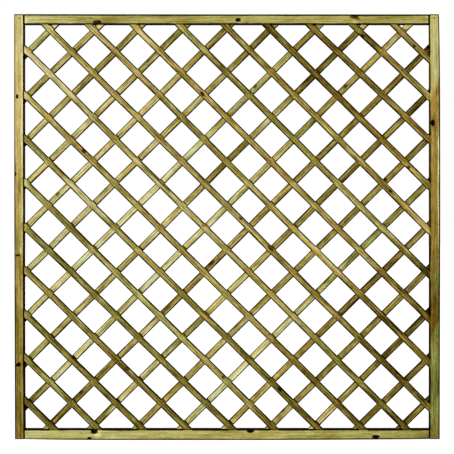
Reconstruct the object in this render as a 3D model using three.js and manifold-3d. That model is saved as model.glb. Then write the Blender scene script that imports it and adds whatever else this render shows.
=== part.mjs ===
// Diagonal lattice trellis panel, in millimetres, +Z up.
//
// Two stiles and two rails, each planed with a groove along the inner edge,
// hold a lattice of thin laths. The laths lie in two layers:
// the front layer falls from left to right and the back layer rises. Every
// lath end is sawn parallel to the bar that it meets and sits in that bar's
// groove. At the corners the rail's tenon fills the stile's open mortise, and
// one nail from the front pins it.
//
// The origin is at the middle of the bottom edge, halfway between the front
// and the back. The front faces -Y.

import * as THREE from 'three';
import { mergeVertices } from 'three/addons/utils/BufferGeometryUtils.js';
import Module from 'manifold-3d';

const wasm = await Module();
wasm.setup();

// Panel
const PANEL_WIDTH = 1830;
const PANEL_HEIGHT = 1830;

// Frame bars: one grooved section, but the rails' faces are a little wider
const STILE_FACE = 42;
const TOP_RAIL_FACE = 43;
const BOTTOM_RAIL_FACE = 46;
const BAR_DEPTH = 42;
const BAR_ARRIS = 3;
const BAR_END_EASE = 1.5;
const GROOVE_DEPTH = 12;

// Corner joint
const MORTISE_DEPTH = 29;
const SHOULDER_GAP = 0.3;

// Laths
const LATH_WIDTH = 28.6;
const LATH_THICKNESS = 9;
const LATH_ARRIS = 2.5;
const LAYER_GAP = 0.3;
const FRONT_LATH_FALL_DEGREES = 44.8;
const BACK_LATH_RISE_DEGREES = 44.8;
const LATHS_EACH_WAY = 18;

// Room for the wood to slide in its grooves and to swell
const CHEEK_CLEARANCE = 0.3;
const END_CLEARANCE = 1.2;

// Corner nails
const NAIL_SHANK_DIAMETER = 3.2;
const NAIL_HEAD_DIAMETER = 6.4;
const NAIL_HEAD_THICKNESS = 1.2;
const NAIL_POINT_LENGTH = 5;
const NAIL_CLEARANCE = 0.3;
const NAIL_BACK_COVER = 6;

// How far a cutting solid runs past the face that it cuts
const OVERRUN = 2;

// Distance from an inner corner of the frame to the nearest lath, measured
// across the laths, as a share of their pitch
const CORNER_SPACE_SHARE = 0.725;

// Where a nail stands: in from the stile's inner edge, as a share of the
// stile's face, and in from the rail's outer edge, as a share of the rail's
const NAIL_INSET_SHARE = 0.42;
const NAIL_DROP_SHARE = 0.43;

// Each lath was tacked down by eye, so it lies a little off its even place.
// The shifts are shares of the pitch, towards the top right for the front
// laths and towards the bottom right for the back laths.
const FRONT_SHIFT_SHARES = [
  -0.05, -0.065, -0.06, -0.05, -0.05, -0.065, -0.06, -0.06, -0.045,
  -0.035, -0.035, -0.025, 0, 0.02, 0, 0.025, 0.005, -0.095,
];
const BACK_SHIFT_SHARES = [
  -0.03, -0.015, -0.045, -0.045, -0.05, -0.045, -0.015, 0.02, 0.02,
  0.015, 0.03, 0.05, 0.06, 0.06, 0.055, 0.045, 0.07, 0.045,
];

// For the same reason each lath lies a little flatter or steeper than the
// rest: the degrees by which its slope is flatter
const FRONT_SKEW_DEGREES = [
  0.3, 0.25, 0.35, 0.5, 0.6, 0.15, 0.15, 0.1, -0.05,
  -0.1, 0, -0.05, -0.15, -0.35, 0.1, 1, 1.4, 0.5,
];
const BACK_SKEW_DEGREES = [
  -0.3, 0.6, -0.25, 0.05, 0, 0, 0, -0.15, -0.05,
  -0.05, 0.05, 0.05, 0, -0.1, -0.15, -0.25, 0.3, 0.5,
];

// Facets in a quarter turn of each rounded edge, and round a nail
const BAR_ARRIS_FACETS = 6;
const LATH_ARRIS_FACETS = 4;
const NAIL_FACETS = 16;

// An arc in an outline gets two facets for each of its curve segments
const FACETS_PER_SEGMENT = 2;

// Sizes that follow
const openingWidth = PANEL_WIDTH - 2 * STILE_FACE;
const openingHeight = PANEL_HEIGHT - TOP_RAIL_FACE - BOTTOM_RAIL_FACE;
const openingMiddle = BOTTOM_RAIL_FACE + openingHeight / 2;
const latticeThickness = 2 * LATH_THICKNESS + LAYER_GAP;
const grooveWidth = latticeThickness + 2 * CHEEK_CLEARANCE;
const railLength = openingWidth - 2 * SHOULDER_GAP;
const tenonLength = MORTISE_DEPTH - END_CLEARANCE + SHOULDER_GAP;
const tenonThickness = latticeThickness;
const nailInset = NAIL_INSET_SHARE * STILE_FACE;
const nailLength = BAR_DEPTH - NAIL_BACK_COVER;

// Finishes: pressure-treated softwood ages from pale straw to olive and brown
const WOOD_COLOURS = {
  cream: '#c9c17f',
  straw: '#b3a25c',
  olive: '#948a47',
  tan: '#98853f',
  brown: '#76662d',
};
const WOOD_ROUGHNESS = 0.85;
const NAIL_COLOUR = '#8d8f8c';
const NAIL_ROUGHNESS = 0.45;
const NAIL_METALNESS = 0.9;

// The tone of each lath, from bottom left to top right and from top left to
// bottom right
const FRONT_TONES = [
  'brown', 'olive', 'brown', 'olive', 'brown', 'olive', 'tan', 'tan', 'straw',
  'tan', 'tan', 'tan', 'olive', 'tan', 'brown', 'brown', 'olive', 'tan',
];
const BACK_TONES = [
  'olive', 'straw', 'tan', 'straw', 'cream', 'straw', 'cream', 'tan', 'straw',
  'brown', 'olive', 'olive', 'cream', 'brown', 'olive', 'brown', 'brown', 'brown',
];

function wood(tone) {
  return new THREE.MeshStandardMaterial({
    color: WOOD_COLOURS[tone],
    roughness: WOOD_ROUGHNESS,
    metalness: 0,
  });
}

// A closed geometry as a solid that can be cut and joined
function solidOf(geometry) {
  const bare = geometry.clone();
  bare.deleteAttribute('normal');
  bare.deleteAttribute('uv');
  const merged = mergeVertices(bare);
  return new wasm.Manifold(new wasm.Mesh({
    numProp: 3,
    vertProperties: new Float32Array(merged.attributes.position.array),
    triVerts: new Uint32Array(merged.index.array),
  }));
}

// The solid's faces as a geometry for a mesh
function geometryOf(solid) {
  const faces = solid.getMesh();
  const geometry = new THREE.BufferGeometry();
  geometry.setAttribute('position', new THREE.BufferAttribute(faces.vertProperties, 3));
  geometry.setIndex(new THREE.BufferAttribute(faces.triVerts, 1));
  geometry.computeVertexNormals();
  return geometry;
}

// A block between two corners
function block(low, high) {
  const size = new THREE.Vector3().subVectors(high, low);
  const middle = new THREE.Vector3().addVectors(low, high).divideScalar(2);
  const geometry = new THREE.BoxGeometry(size.x, size.y, size.z);
  return geometry.translate(middle.x, middle.y, middle.z);
}

// A rounded rectangle centred on the origin, with an optional groove cut
// into its +X side
function section(width, depth, radius, groove) {
  const x = width / 2;
  const y = depth / 2;
  const outline = new THREE.Shape();
  outline.moveTo(-x + radius, -y);
  outline.absarc(x - radius, -y + radius, radius, -Math.PI / 2, 0);
  if (groove) {
    outline.lineTo(x, -groove.width / 2);
    outline.lineTo(x - groove.depth, -groove.width / 2);
    outline.lineTo(x - groove.depth, groove.width / 2);
    outline.lineTo(x, groove.width / 2);
  }
  outline.absarc(x - radius, y - radius, radius, 0, Math.PI / 2);
  outline.absarc(-x + radius, y - radius, radius, Math.PI / 2, Math.PI);
  outline.absarc(-x + radius, -y + radius, radius, Math.PI, 3 * Math.PI / 2);
  return outline;
}

// A bar of that section along Z, centred, with its end edges eased
function easedBar(outline, length, ease, facets) {
  const geometry = new THREE.ExtrudeGeometry(outline, {
    depth: length - 2 * ease,
    curveSegments: facets / FACETS_PER_SEGMENT,
    bevelEnabled: true,
    bevelThickness: ease,
    bevelSize: ease,
    bevelOffset: -ease,
    bevelSegments: 1,
  });
  return geometry.translate(0, 0, ease - length / 2);
}

// The grooved section of a frame bar. Its groove is on the +X side, towards
// the lattice.
function barSection(face) {
  const groove = { width: grooveWidth, depth: GROOVE_DEPTH };
  return section(face, BAR_DEPTH, BAR_ARRIS, groove);
}

// A round nail along Y with its head flush with the bar's front, or, with a
// growth, the hole that clears it
function nailGeometry(growth = 0) {
  const front = -BAR_DEPTH / 2 - (growth > 0 ? OVERRUN : 0);
  const underHead = -BAR_DEPTH / 2 + NAIL_HEAD_THICKNESS + growth;
  const tip = -BAR_DEPTH / 2 + nailLength + growth;
  const head = NAIL_HEAD_DIAMETER / 2 + growth;
  const shank = NAIL_SHANK_DIAMETER / 2 + growth;
  const profile = [
    new THREE.Vector2(0, front),
    new THREE.Vector2(head, front),
    new THREE.Vector2(head, underHead),
    new THREE.Vector2(shank, underHead),
    new THREE.Vector2(shank, tip - NAIL_POINT_LENGTH),
    new THREE.Vector2(0, tip),
  ];
  return new THREE.LatheGeometry(profile, NAIL_FACETS);
}

// How high a rail's tenon stands: all of the rail that the groove leaves
function tenonHeight(railFace) {
  return railFace - GROOVE_DEPTH;
}

// How far in from the rail's outer edge the corner nail stands
function nailDrop(railFace) {
  return NAIL_DROP_SHARE * railFace;
}

// The stile, centred, with an open mortise and a nail hole at each end. It
// takes the faces of the rails at its -Z end and at its +Z end.
function stileGeometry(lowRailFace, highRailFace) {
  const half = PANEL_HEIGHT / 2;
  const outline = barSection(STILE_FACE);
  let stile = solidOf(easedBar(outline, PANEL_HEIGHT, BAR_END_EASE, BAR_ARRIS_FACETS));
  for (const [end, railFace] of [[-1, lowRailFace], [1, highRailFace]]) {
    const inner = end * (half - tenonHeight(railFace) - CHEEK_CLEARANCE);
    const outer = end * (half + OVERRUN);
    const mortise = block(
      new THREE.Vector3(STILE_FACE / 2 - MORTISE_DEPTH, -grooveWidth / 2, Math.min(inner, outer)),
      new THREE.Vector3(STILE_FACE / 2 + OVERRUN, grooveWidth / 2, Math.max(inner, outer)),
    );
    const hole = nailGeometry(NAIL_CLEARANCE);
    hole.translate(STILE_FACE / 2 - nailInset, 0, end * (half - nailDrop(railFace)));
    stile = stile.subtract(solidOf(mortise)).subtract(solidOf(hole));
  }
  return geometryOf(stile);
}

// The rail, centred, with a tenon and a nail hole at each end. Its length
// lies along Z here, and its groove faces +X as the stile's does.
function railGeometry(face) {
  const half = railLength / 2;
  const outline = barSection(face);
  let rail = solidOf(easedBar(outline, railLength, BAR_END_EASE, BAR_ARRIS_FACETS));
  for (const end of [-1, 1]) {
    const root = end * (half - BAR_END_EASE - OVERRUN);
    const tip = end * (half + tenonLength);
    const tenon = block(
      new THREE.Vector3(-face / 2, -tenonThickness / 2, Math.min(root, tip)),
      new THREE.Vector3(-face / 2 + tenonHeight(face), tenonThickness / 2, Math.max(root, tip)),
    );
    const hole = nailGeometry(NAIL_CLEARANCE);
    hole.translate(nailDrop(face) - face / 2, 0, end * (openingWidth / 2 + nailInset));
    rail = rail.add(solidOf(tenon)).subtract(solidOf(hole));
  }
  return geometryOf(rail);
}

// One lath, sawn to the lattice's outline where it lies. Its length is along
// Z in its own frame.
function lathGeometry(placement) {
  const reach = Math.hypot(openingWidth, openingHeight);
  const outline = section(LATH_WIDTH, LATH_THICKNESS, LATH_ARRIS);
  const bar = new THREE.ExtrudeGeometry(outline, {
    depth: reach,
    curveSegments: LATH_ARRIS_FACETS / FACETS_PER_SEGMENT,
    bevelEnabled: false,
  });
  bar.translate(0, 0, -reach / 2);

  const overhang = GROOVE_DEPTH - END_CLEARANCE;
  const halfWidth = openingWidth / 2 + overhang;
  const halfHeight = openingHeight / 2 + overhang;
  const lattice = block(
    new THREE.Vector3(-halfWidth, -BAR_DEPTH, openingMiddle - halfHeight),
    new THREE.Vector3(halfWidth, BAR_DEPTH, openingMiddle + halfHeight),
  );
  lattice.applyMatrix4(placement.clone().invert());
  return geometryOf(solidOf(bar).intersect(solidOf(lattice)));
}

// One layer of laths. Slope is the angle that the laths rise, left to right,
// and side is -1 for the front layer and 1 for the back one.
function latticeLayer(name, slope, side, shiftShares, skewDegrees, tones) {
  const layer = new THREE.Group();
  const across = new THREE.Vector3(Math.abs(Math.sin(slope)), 0, -side * Math.cos(slope));
  const span = openingWidth * Math.abs(across.x) + openingHeight * Math.abs(across.z);
  const pitch = span / (LATHS_EACH_WAY - 1 + 2 * CORNER_SPACE_SHARE);
  for (let i = 0; i < LATHS_EACH_WAY; i += 1) {
    const shift = shiftShares[i % shiftShares.length];
    const skew = THREE.MathUtils.degToRad(skewDegrees[i % skewDegrees.length]);
    const offset = (i - (LATHS_EACH_WAY - 1) / 2 + shift) * pitch;
    const lath = new THREE.Mesh();
    lath.name = `${name}_${String(i + 1).padStart(2, '0')}`;
    lath.position.copy(across).multiplyScalar(offset);
    lath.position.y = side * (LATH_THICKNESS + LAYER_GAP) / 2;
    lath.position.z += openingMiddle;
    lath.rotation.y = Math.PI / 2 - slope + side * skew;
    lath.updateMatrix();
    lath.geometry = lathGeometry(lath.matrix);
    lath.material = wood(tones[i % tones.length]);
    layer.add(lath);
  }
  return layer;
}

function frame() {
  const group = new THREE.Group();
  const stileX = (PANEL_WIDTH - STILE_FACE) / 2;

  const leftStile = new THREE.Mesh(
    stileGeometry(BOTTOM_RAIL_FACE, TOP_RAIL_FACE),
    wood('straw'),
  );
  leftStile.name = 'left_stile';
  leftStile.position.set(-stileX, 0, PANEL_HEIGHT / 2);

  // Half a turn about Y brings the right stile's -Z end to the top
  const rightStile = new THREE.Mesh(
    stileGeometry(TOP_RAIL_FACE, BOTTOM_RAIL_FACE),
    wood('tan'),
  );
  rightStile.name = 'right_stile';
  rightStile.position.set(stileX, 0, PANEL_HEIGHT / 2);
  rightStile.rotation.y = Math.PI;

  const topRail = new THREE.Mesh(railGeometry(TOP_RAIL_FACE), wood('straw'));
  topRail.name = 'top_rail';
  topRail.position.set(0, 0, PANEL_HEIGHT - TOP_RAIL_FACE / 2);
  topRail.rotation.y = Math.PI / 2;

  const bottomRail = new THREE.Mesh(railGeometry(BOTTOM_RAIL_FACE), wood('straw'));
  bottomRail.name = 'bottom_rail';
  bottomRail.position.set(0, 0, BOTTOM_RAIL_FACE / 2);
  bottomRail.rotation.y = -Math.PI / 2;

  group.add(leftStile, rightStile, topRail, bottomRail);
  return group;
}

function cornerNails() {
  const group = new THREE.Group();
  const steel = new THREE.MeshStandardMaterial({
    color: NAIL_COLOUR,
    roughness: NAIL_ROUGHNESS,
    metalness: NAIL_METALNESS,
  });
  const nailX = openingWidth / 2 + nailInset;
  const levels = [
    ['top', PANEL_HEIGHT - nailDrop(TOP_RAIL_FACE)],
    ['bottom', nailDrop(BOTTOM_RAIL_FACE)],
  ];
  for (const [sideName, side] of [['left', -1], ['right', 1]]) {
    for (const [levelName, height] of levels) {
      const nail = new THREE.Mesh(nailGeometry(), steel);
      nail.name = `corner_nail_${levelName}_${sideName}`;
      nail.position.set(side * nailX, 0, height);
      group.add(nail);
    }
  }
  return group;
}

const trellis = new THREE.Group();
trellis.add(frame());
trellis.add(latticeLayer(
  'front_lath',
  -THREE.MathUtils.degToRad(FRONT_LATH_FALL_DEGREES),
  -1,
  FRONT_SHIFT_SHARES,
  FRONT_SKEW_DEGREES,
  FRONT_TONES,
));
trellis.add(latticeLayer(
  'back_lath',
  THREE.MathUtils.degToRad(BACK_LATH_RISE_DEGREES),
  1,
  BACK_SHIFT_SHARES,
  BACK_SKEW_DEGREES,
  BACK_TONES,
));
trellis.add(cornerNails());

export default trellis;
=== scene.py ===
"""Looks of a diagonal lattice trellis panel in pressure-treated pine.

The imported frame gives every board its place. This script saws each board again from that place with eased
arrises and the slight wander of real timber, gives it a grain of its own, staples the crossings and stands the
panel in a plain studio.
"""

import logging
import math
import random
from dataclasses import dataclass, field, replace
from enum import Enum

import bmesh
import bpy
from mathutils import Euler, Matrix, Vector


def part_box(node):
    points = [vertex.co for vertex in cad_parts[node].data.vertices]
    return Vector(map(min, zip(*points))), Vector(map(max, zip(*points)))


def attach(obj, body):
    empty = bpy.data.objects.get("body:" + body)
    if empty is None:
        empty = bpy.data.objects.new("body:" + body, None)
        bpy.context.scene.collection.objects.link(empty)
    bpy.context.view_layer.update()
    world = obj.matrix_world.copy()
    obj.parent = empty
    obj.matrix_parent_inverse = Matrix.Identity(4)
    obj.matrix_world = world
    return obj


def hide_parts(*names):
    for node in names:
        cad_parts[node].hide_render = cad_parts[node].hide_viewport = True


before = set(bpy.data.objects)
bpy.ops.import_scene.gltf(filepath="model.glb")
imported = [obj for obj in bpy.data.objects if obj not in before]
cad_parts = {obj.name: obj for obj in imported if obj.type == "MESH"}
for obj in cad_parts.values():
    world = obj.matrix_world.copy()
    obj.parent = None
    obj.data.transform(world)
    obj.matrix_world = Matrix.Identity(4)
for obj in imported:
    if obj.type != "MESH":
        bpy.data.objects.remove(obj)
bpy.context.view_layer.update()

log = logging.getLogger("trellis")

Tree = bpy.types.NodeTree
Socket = bpy.types.NodeSocket
Mesh = bmesh.types.BMesh
Colour = tuple[float, float, float, float]
Sockets = dict[str | int, object]

MM = 0.001
BODY = "root"
BOARD_COORDINATES = "board"
CROSSINGS = "crossing"
EVEN = (1.0, 1.0)

# How far apart the noises of two boards, and of two patterns on one board, are
SEED_STEP = 7.3
SALT_STEP = 1.7


def linear(hex_colour: str) -> Colour:
    """Turn an sRGB hex colour into the linear colour that a shader takes.

    Args:
        hex_colour: The colour as #rrggbb.

    Returns:
        Red, green, blue and alpha, linear.
    """
    channels = []
    for start in (1, 3, 5):
        value = int(hex_colour[start:start + 2], 16) / 255
        channels.append(value / 12.92 if value <= 0.04045 else ((value + 0.055) / 1.055) ** 2.4)
    return (*channels, 1.0)


def plug(tree: Tree, node: bpy.types.Node, sockets: Sockets) -> None:
    """Give each named input of a node a value, or the output that feeds it."""
    for key, value in sockets.items():
        if isinstance(value, Socket):
            tree.links.new(value, node.inputs[key])
        else:
            node.inputs[key].default_value = value


def add_node(
    tree: Tree, kind: str, settings: dict[str, object] | None = None, sockets: Sockets | None = None
) -> bpy.types.Node:
    """Add one node with its settings and links.

    Args:
        tree: The tree that gets the node.
        kind: The node's type name.
        settings: Values of the node's own properties.
        sockets: For each input, a value or the output that feeds it.

    Returns:
        The new node.
    """
    new = tree.nodes.new(kind)
    for key, value in (settings or {}).items():
        setattr(new, key, value)
    plug(tree, new, sockets or {})
    return new


def new_material(name: str) -> bpy.types.Material:
    """Make a material with nodes."""
    material = bpy.data.materials.new(name)
    material.use_nodes = True
    return material


def add_object(name: str, data: bpy.types.ID) -> bpy.types.Object:
    """Put a mesh, a lamp or a camera into the scene."""
    new = bpy.data.objects.new(name, data)
    bpy.context.scene.collection.objects.link(new)
    return new


@dataclass
class Wiring:
    """A node tree, with the sums that patterns are built from. Values are numbers or sockets."""

    tree: Tree

    def attribute(self, name: str, output: str) -> Socket:
        """Read an attribute of the mesh."""
        return add_node(self.tree, "ShaderNodeAttribute", {"attribute_name": name}).outputs[output]

    def parted(self, vector: Socket) -> list[Socket]:
        """Part a vector into its X, Y and Z."""
        outputs = add_node(self.tree, "ShaderNodeSeparateXYZ", {}, {0: vector}).outputs
        return [outputs[axis] for axis in "XYZ"]

    def maths(self, operation: str, *values: object) -> Socket:
        """Do a sum with numbers."""
        return add_node(self.tree, "ShaderNodeMath", {"operation": operation}, dict(enumerate(values))).outputs[0]

    def vectors(self, operation: str, *values: object) -> Socket:
        """Do a sum with vectors. A length is a number, and all else is a vector."""
        new = add_node(self.tree, "ShaderNodeVectorMath", {"operation": operation}, dict(enumerate(values)))
        return new.outputs["Value" if operation == "LENGTH" else "Vector"]

    def plus(self, value: Socket | None, other: Socket | None) -> Socket | None:
        """Add two values, of which None stands for nothing."""
        if value is None or other is None:
            return other if value is None else value
        return self.maths("ADD", value, other)

    def mapped(
        self, value: Socket, start: float, end: float, low: float, high: float, **settings: object
    ) -> Socket:
        """Map a value from one range, start to end, to another, low to high."""
        spread = {"Value": value, "From Min": start, "From Max": end, "To Min": low, "To Max": high}
        return add_node(self.tree, "ShaderNodeMapRange", settings, spread).outputs["Result"]

    def straight(self, value: Socket, *spread: float) -> Socket:
        """Map a value straight from one range to another, and on past its ends."""
        return self.mapped(value, *spread, clamp=False)

    def eased(self, value: Socket, *spread: float) -> Socket:
        """Map a value from one range to another, clamped, and eased at both ends."""
        return self.mapped(value, *spread, interpolation_type="SMOOTHSTEP", clamp=True)

    def swing(self, value: Socket, strength: float) -> Socket:
        """Spread a value from 0 to 1 evenly round zero."""
        return self.straight(value, 0.0, 1.0, -strength / 2, strength / 2)

    def mix(self, share: Socket, first: str, second: str) -> Socket:
        """Mix two colours, given as #rrggbb, by a share."""
        sockets = {0: share, 6: linear(first), 7: linear(second)}
        return add_node(self.tree, "ShaderNodeMix", {"data_type": "RGBA"}, sockets).outputs[2]

    def ramp(self, value: Socket, stops: list[tuple[float, Colour]]) -> Socket:
        """Turn a value into a colour.

        Args:
            value: The value, from 0 to 1.
            stops: Each stop's position and colour, from low to high.

        Returns:
            The colour.
        """
        new = add_node(self.tree, "ShaderNodeValToRGB", {}, {0: value})
        elements = new.color_ramp.elements
        while len(elements) < len(stops):
            elements.new(0.5)
        for index, (position, _) in enumerate(stops):
            elements[index].position = position
        for index, (_, colour) in enumerate(stops):
            elements[index].color = colour
        return new.outputs["Color"]

    def feed(self, sockets: Sockets) -> None:
        """Give the surface its values."""
        plug(self.tree, self.tree.nodes["Principled BSDF"], sockets)


class Tone(Enum):
    """Tones of weathered treated pine.

    The first number is how pale the eye sees it, from 0 for black to 1 for white. The second is its hue beside
    the rest of the board, from -1 for green to 1 for rosy.
    """

    MILK = (0.87, 0.0)
    IVORY = (0.80, 0.0)
    CREAM = (0.74, 0.0)
    WHEAT = (0.70, 0.0)
    WILLOW = (0.69, -0.4)
    STRAW = (0.65, 0.0)
    SAND = (0.61, 0.0)
    HONEY = (0.575, 0.0)
    TAN = (0.52, 0.0)
    AMBER = (0.49, 0.75)
    KHAKI = (0.47, 0.0)
    FERN = (0.45, -1.1)
    MINT = (0.53, -1.4)
    MOSS = (0.43, 0.05)
    UMBER = (0.395, 0.0)
    RUSSET = (0.30, 0.5)
    BARK = (0.34, 0.0)
    PEAT = (0.28, 0.0)
    PITCH = (0.20, 0.0)


@dataclass(frozen=True)
class Figure:
    """How a board's look changes along it.

    It has a warmth from -1 for green to 1 for rosy, and tones that change aslant, evenly spaced or each at its own
    share of the length. From the first tone to the last it can grow warmer.
    """

    warmth: float
    tones: tuple[Tone, ...]
    slant: float = 3.0
    shares: tuple[float, ...] = ()
    warming: float = 0.0

    def stops(self) -> list[tuple[float, Colour]]:
        """Give each tone's share of the length, with its paleness as red and its hue, from 0 to 1, as green."""
        last = len(self.tones) - 1
        shares = self.shares or tuple(index / last for index in range(len(self.tones)))
        found = []
        for share, (pale, hue) in zip(shares, (tone.value for tone in self.tones)):
            warmth = self.warmth + self.warming * (share - 0.5)
            found.append((share, (pale, 0.5 + 0.5 * (hue + warmth), 0.0, 1.0)))
        return found


# Treated pine from ingrained dirt and painted shade to bare wood, each colour with how pale it looks
PINE_SCALE = (
    (0.0, "#070401"),
    (0.2, "#40320a"),
    (0.31, "#5f5115"),
    (0.4, "#76682a"),
    (0.5, "#908240"),
    (0.585, "#a79854"),
    (0.675, "#beb06f"),
    (0.775, "#d7c991"),
    (0.9, "#f0e7c2"),
)


class Layer(Enum):
    """Which part of the panel a knot or a split is in."""

    FRONT = "front"
    BACK = "back"
    BARS = "bars"


@dataclass(frozen=True)
class Knot:
    """A knot or, where it is long and thin, a split.

    Its place is in the panel's own frame, in metres. Its size is across the board, its depth is how dark it is,
    and its length is how many times longer it is along the board.
    """

    x: float
    z: float
    size: float
    depth: float = 1.0
    length: float = 1.5


# Knots that stand out on the real panel, one long split, and on the right stile a long pale line that is a painted
# highlight
KNOTS = {
    Layer.BARS: (
        Knot(-0.557, 1.796, 0.015, 0.9, 2.6),
        Knot(-0.550, 1.800, 0.007, 0.8, 1.6),
        Knot(0.047, 1.805, 0.016, 1.5, 1.4),
        Knot(0.060, 1.801, 0.020, -0.12, 1.6),
        Knot(0.546, 1.818, 0.016, 0.85, 2.2),
        Knot(0.562, 1.809, 0.010, 0.45, 2.2),
        Knot(0.549, 1.797, 0.014, -0.25, 1.8),
        Knot(-0.901, 1.475, 0.010, 2.2, 1.9),
        Knot(-0.910, 1.1425, 0.012, 1.7, 1.3),
        Knot(-0.899, 0.794, 0.019, 1.3, 0.45),
        Knot(-0.886, 0.813, 0.009, -0.4, 4.0),
        Knot(-0.896, 0.3247, 0.018, 1.2, 1.0),
        Knot(-0.905, 0.322, 0.010, 1.4, 1.0),
        Knot(-0.885, 0.352, 0.009, -0.3, 4.0),
        Knot(0.884, 1.362, 0.016, 1.5, 1.6),
        Knot(0.891, 1.362, 0.024, 0.22, 3.5),
        # A painted highlight along the right stile's outer arris
        Knot(0.9075, 1.095, 0.007, -0.7, 74.0),
        Knot(-0.570, 0.038, 0.022, 1.7, 1.3),
        Knot(-0.557, 0.026, 0.026, -0.35, 1.3),
        Knot(-0.591, 0.007, 0.013, 1.6, 1.5),
        Knot(0.100, 0.041, 0.018, 1.7, 1.7),
        Knot(0.122, 0.038, 0.016, -0.2, 1.8),
        Knot(0.638, 0.0135, 0.016, 1.4, 2.0),
        Knot(0.641, 0.026, 0.010, -0.3, 3.4),
    ),
    Layer.FRONT: (
        Knot(-0.618, 1.241, 0.014, 0.9),
        Knot(0.806, 1.694, 0.011, 0.7),
        Knot(0.583, 1.739, 0.012, 0.7),
        Knot(-0.108, 1.487, 0.015, 0.9),
        Knot(0.782, 1.172, 0.012, 0.8),
        Knot(0.702, 1.069, 0.012, 0.7),
        Knot(0.227, 0.216, 0.013, 0.8),
        Knot(-0.018, 0.267, 0.012, 0.7),
        Knot(-0.428, 0.306, 0.013, 0.7),
        Knot(-0.663, 0.353, 0.010, 0.4),
        Knot(0.058, 0.951, 0.012, 0.8),
        Knot(-0.104, 0.920, 0.010, 0.6),
        Knot(0.187, 0.824, 0.015, 0.7, 2.2),
        Knot(-0.757, 1.773, 0.007, -0.5, 7.0),
        Knot(-0.297, 1.116, 0.005, 1.2, 30.0),
    ),
    Layer.BACK: (
        Knot(-0.730, 1.057, 0.013, 0.8),
        Knot(0.121, 1.520, 0.013, 0.7),
        Knot(0.511, 1.521, 0.014, 0.6),
        Knot(-0.629, 0.203, 0.013, 0.45),
        Knot(0.242, 0.126, 0.013, 0.7),
        Knot(0.680, 1.117, 0.013, 0.7),
        Knot(-0.068, 0.758, 0.016, 0.5, 2.0),
    ),
}


def width_across(points: list[Vector], turn: float) -> float:
    """Measure how wide a board is across a direction.

    Args:
        points: The board's vertices.
        turn: The board's supposed turn about the panel's Y axis, in radians.

    Returns:
        The width.
    """
    axis = Matrix.Rotation(turn, 3, "Y") @ Vector((1, 0, 0))
    spread = [point.dot(axis) for point in points]
    return max(spread) - min(spread)


@dataclass(frozen=True)
class Place:
    """Where a board lies.

    In the board's own frame X is across its face, Y goes from front to back and Z is along it.
    """

    centre: Vector
    turn: float
    half: Vector

    @classmethod
    def of_node(cls, node: str, turn: float, slack: float = 0.0) -> "Place":
        """Read a board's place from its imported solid.

        Args:
            node: The solid's name.
            turn: The board's turn about the panel's Y axis, in radians.
            slack: How far off the real turn may be. The true one makes the board narrowest.

        Returns:
            The place that just holds the solid.
        """
        points = [vertex.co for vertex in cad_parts[node].data.vertices]
        low_turn, high_turn = turn - slack, turn + slack
        while high_turn - low_turn > 1e-5:
            third = (high_turn - low_turn) / 3
            if width_across(points, low_turn + third) < width_across(points, high_turn - third):
                high_turn -= third
            else:
                low_turn += third
        best = (low_turn + high_turn) / 2
        back = Matrix.Rotation(best, 4, "Y").inverted()
        straight = [back @ point for point in points]
        low = Vector(min(point[axis] for point in straight) for axis in range(3))
        high = Vector(max(point[axis] for point in straight) for axis in range(3))
        return cls(back.inverted() @ ((low + high) / 2), best, (high - low) / 2)

    @property
    def matrix(self) -> Matrix:
        """The step from the board's frame to the panel's."""
        return Matrix.Translation(self.centre) @ Matrix.Rotation(self.turn, 4, "Y")

    def holds(self, x: float, z: float) -> Vector | None:
        """Find a point of the panel's face on this board.

        Args:
            x: The point's X in the panel's frame.
            z: The point's Z in the panel's frame.

        Returns:
            The point in the board's frame, or None where it is off the board.
        """
        point = self.matrix.inverted() @ Vector((x, self.centre.y, z))
        on_board = abs(point.x) < self.half.x and abs(point.z) < self.half.z
        return point if on_board else None

    def meets(self, other: "Place", aside: float = 0.0) -> float:
        """Find where another board's centre line crosses a line along this one.

        Args:
            other: The other board's place.
            aside: How far the line lies from this board's own centre line, towards +X.

        Returns:
            The distance along this board.
        """
        inward = self.matrix.inverted()
        centre = inward @ other.centre
        along = inward.to_3x3() @ other.matrix.to_3x3() @ Vector((0, 0, 1))
        return centre.z + (aside - centre.x) / along.x * along.z


@dataclass(frozen=True)
class Pattern:
    """One layer of the wood's variation: its grains' size, its strength and what tells its noise from others."""

    across: float
    along: float
    strength: float
    salt: int
    detail: float = 2.0


@dataclass(frozen=True)
class Opening:
    """Where the frame's inner faces are, in the panel's own frame."""

    left: float
    right: float
    bottom: float
    top: float

    def holds(self, point: Vector, margin: float) -> bool:
        """Tell whether a point is clear of the frame by a margin."""
        clear_x = self.left + margin < point.x < self.right - margin
        return clear_x and self.bottom + margin < point.z < self.top - margin


@dataclass(frozen=True)
class Band:
    """A band beside an edge, darkened by dirt and painted shade or, where dark is negative, lightened as a painted
    highlight.

    It is at its full up to one distance from the edge and ends at the next. It can begin only at a third.
    """

    dark: float
    full: float
    clear: float
    begin: float = 0.0


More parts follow.
